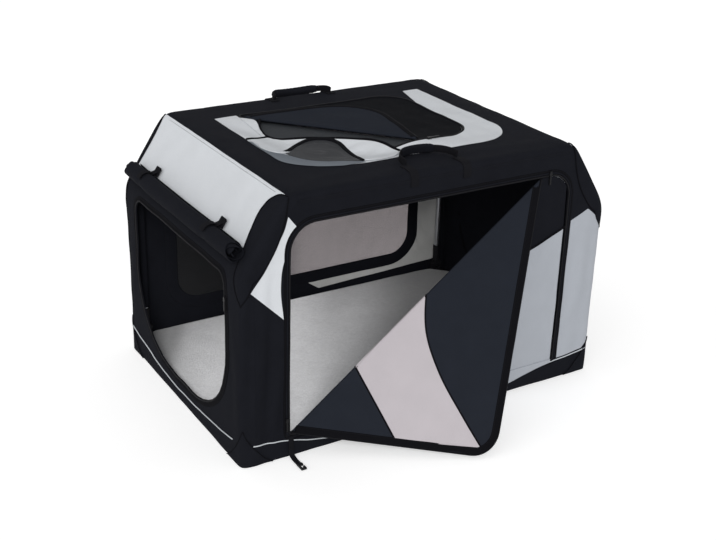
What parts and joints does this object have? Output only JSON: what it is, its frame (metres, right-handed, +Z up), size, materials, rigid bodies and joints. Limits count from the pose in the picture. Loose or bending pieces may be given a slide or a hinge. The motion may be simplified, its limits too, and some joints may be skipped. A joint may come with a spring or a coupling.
{
  "type": "soft pet crate",
  "caption": "Folding fabric pet crate on two steel arches, with a fleece mat, an end doorway, a part-open side door and a roof hatch folded back.",
  "frame": {"origin": "middle of the crate's footprint, on the ground", "axes": "+X along the crate away from the open end doorway, +Y towards the rear wall with the window, +Z up"},
  "size_m": [0.9276, 0.8623, 0.6257],
  "materials": {
    "black_cloth": "black woven polyester, matt",
    "grey_cloth": "light grey woven polyester, matt",
    "mesh_cloth": "black warp-knit mesh",
    "webbing": "black woven webbing and zip tape",
    "black_plastic": "black moulded nylon",
    "steel": "zinc-coated steel tube",
    "fleece": "short-pile light grey fleece",
    "reflective": "silver reflective piping"
  },
  "bodies": {
    "base": {"base_cover": "black_cloth", "floor_panel": "black_cloth", "fleece_mat": "fleece", "base_tube_front": "steel", "base_tube_rear": "steel", "base_tube_left": "steel", "base_tube_right": "steel", "corner_bracket_front_left": "black_plastic", "corner_bracket_front_right": "black_plastic", "corner_bracket_rear_left": "black_plastic", "corner_bracket_rear_right": "black_plastic", "hinge_pin_front_left": "steel", "hinge_pin_front_right": "steel", "hinge_pin_rear_left": "steel", "hinge_pin_rear_right": "steel", "front_wall": "black_cloth", "rear_wall": "black_cloth", "left_end_wall": "black_cloth", "right_end_wall": "black_cloth", "left_slope_panel": "grey_cloth", "right_slope_panel": "grey_cloth", "roof_panel": "black_cloth", "front_door_lower": "grey_cloth", "hatch_cover_fixed": "black_cloth", "hatch_mesh": "mesh_cloth", "rear_window_mesh": "mesh_cloth", "rear_window_cover": "black_cloth", "right_end_door": "black_cloth", "rolled_end_door": "black_cloth", "roll_toggle_front": "webbing", "roll_toggle_rear": "webbing", "front_zip_tape": "webbing", "left_zip_tape": "webbing", "right_zip_tape": "webbing", "hatch_zip_tape": "webbing", "reflective_piping": "reflective"},
    "front_arch": {"front_arch_tube": "steel", "arch_foot_front_left": "black_plastic", "arch_foot_front_right": "black_plastic"},
    "rear_arch": {"rear_arch_tube": "steel", "arch_foot_rear_left": "black_plastic", "arch_foot_rear_right": "black_plastic"},
    "lock_button_front_left": {"lock_button_front_left": "black_plastic"},
    "lock_button_front_right": {"lock_button_front_right": "black_plastic"},
    "lock_button_rear_left": {"lock_button_rear_left": "black_plastic"},
    "lock_button_rear_right": {"lock_button_rear_right": "black_plastic"},
    "side_door_flap": {"front_door_flap": "black_cloth"},
    "hatch_flap": {"hatch_cover_flap": "black_cloth"},
    "mesh_flap": {"hatch_mesh_flap": "mesh_cloth"},
    "handle_front": {"front_handle": "webbing", "front_handle_wrap": "webbing"},
    "handle_rear": {"rear_handle": "webbing", "rear_handle_wrap": "webbing"},
    "slider_door_top": {"front_zip_slider_top": "steel"},
    "slider_door_side": {"front_zip_slider_side": "steel"},
    "slider_hatch": {"hatch_zip_slider": "steel"},
    "slider_end": {"end_zip_slider": "steel"},
    "tether": {"tether_strap": "webbing", "tether_hook": "black_plastic"}
  },
  "joints": [
    {"name": "front_arch_fold", "type": "hinge", "parent": "base", "child": "front_arch", "pos_m": [0, -0.2908, 0.085], "axis": [-1, 0, 0], "range_deg": [0, 90], "deforming": ["front_wall", "rear_wall", "left_end_wall", "right_end_wall", "left_slope_panel", "right_slope_panel", "roof_panel", "front_door_lower", "hatch_cover_fixed", "hatch_mesh", "rear_window_mesh", "rear_window_cover", "right_end_door", "rolled_end_door", "roll_toggle_front", "roll_toggle_rear", "front_zip_tape", "left_zip_tape", "right_zip_tape", "hatch_zip_tape", "reflective_piping", "front_door_flap", "hatch_cover_flap", "hatch_mesh_flap", "front_handle", "front_handle_wrap", "rear_handle", "rear_handle_wrap", "front_zip_slider_top", "front_zip_slider_side", "hatch_zip_slider", "end_zip_slider"]},
    {"name": "rear_arch_fold", "type": "hinge", "parent": "base", "child": "rear_arch", "pos_m": [0, 0.2908, 0.05], "axis": [1, 0, 0], "range_deg": [0, 90], "deforming": ["front_wall", "rear_wall", "left_end_wall", "right_end_wall", "left_slope_panel", "right_slope_panel", "roof_panel", "front_door_lower", "hatch_cover_fixed", "hatch_mesh", "rear_window_mesh", "rear_window_cover", "right_end_door", "rolled_end_door", "roll_toggle_front", "roll_toggle_rear", "front_zip_tape", "left_zip_tape", "right_zip_tape", "hatch_zip_tape", "reflective_piping", "front_door_flap", "hatch_cover_flap", "hatch_mesh_flap", "front_handle", "front_handle_wrap", "rear_handle", "rear_handle_wrap", "front_zip_slider_top", "front_zip_slider_side", "hatch_zip_slider", "end_zip_slider"]},
    {"name": "lock_button_press_front_left", "type": "slide", "parent": "base", "child": "lock_button_front_left", "axis": [-1, 0, 0], "range_m": [0, 0.003], "stiffness_N_per_m": 400},
    {"name": "lock_button_press_front_right", "type": "slide", "parent": "base", "child": "lock_button_front_right", "axis": [1, 0, 0], "range_m": [0, 0.003], "stiffness_N_per_m": 400},
    {"name": "lock_button_press_rear_left", "type": "slide", "parent": "base", "child": "lock_button_rear_left", "axis": [-1, 0, 0], "range_m": [0, 0.003], "stiffness_N_per_m": 400},
    {"name": "lock_button_press_rear_right", "type": "slide", "parent": "base", "child": "lock_button_rear_right", "axis": [1, 0, 0], "range_m": [0, 0.003], "stiffness_N_per_m": 400},
    {"name": "side_door_fold", "type": "hinge", "parent": "base", "child": "side_door_flap", "pos_m": [-0.345, -0.305, 0.053], "axis": [0.7986, 0, 0.6019], "range_deg": [-141, 0]},
    {"name": "hatch_fold", "type": "hinge", "parent": "base", "child": "hatch_flap", "pos_m": [-0.213, 0.18, 0.58], "axis": [-0.6636, 0.7481, 0], "range_deg": [-172, 0]},
    {"name": "mesh_flap_drop", "type": "hinge", "parent": "base", "child": "mesh_flap", "pos_m": [-0.208, -0.04, 0.5761], "axis": [0.83, -0.5577, 0], "range_deg": [-75, 0]},
    {"name": "front_handle_swing", "type": "hinge", "parent": "base", "child": "handle_front", "pos_m": [0, -0.268, 0.5884], "axis": [1, 0, 0], "range_deg": [0, 160]},
    {"name": "rear_handle_swing", "type": "hinge", "parent": "base", "child": "handle_rear", "pos_m": [0, 0.268, 0.5884], "axis": [1, 0, 0], "range_deg": [0, 150]},
    {"name": "door_top_zip_slide", "type": "slide", "parent": "base", "child": "slider_door_top", "axis": [-1, 0, 0], "range_m": [0, 0.51]},
    {"name": "door_side_zip_slide", "type": "slide", "parent": "base", "child": "slider_door_side", "axis": [0, 0, 1], "range_m": [0, 0.35]},
    {"name": "hatch_zip_slide", "type": "slide", "parent": "base", "child": "slider_hatch", "axis": [-1, 0, 0], "range_m": [0, 0.15]},
    {"name": "end_zip_slide", "type": "slide", "parent": "base", "child": "slider_end", "axis": [0, 0, -1], "range_m": [0, 0.14]},
    {"name": "tether_swing", "type": "hinge", "parent": "base", "child": "tether", "pos_m": [-0.345, -0.3092, 0.05], "axis": [1, 0, 0], "range_deg": [-100, 0]}
  ],
  "couplings": [
    {"joint": "rear_arch_fold", "follows": "front_arch_fold", "ratio": 1}
  ]
}
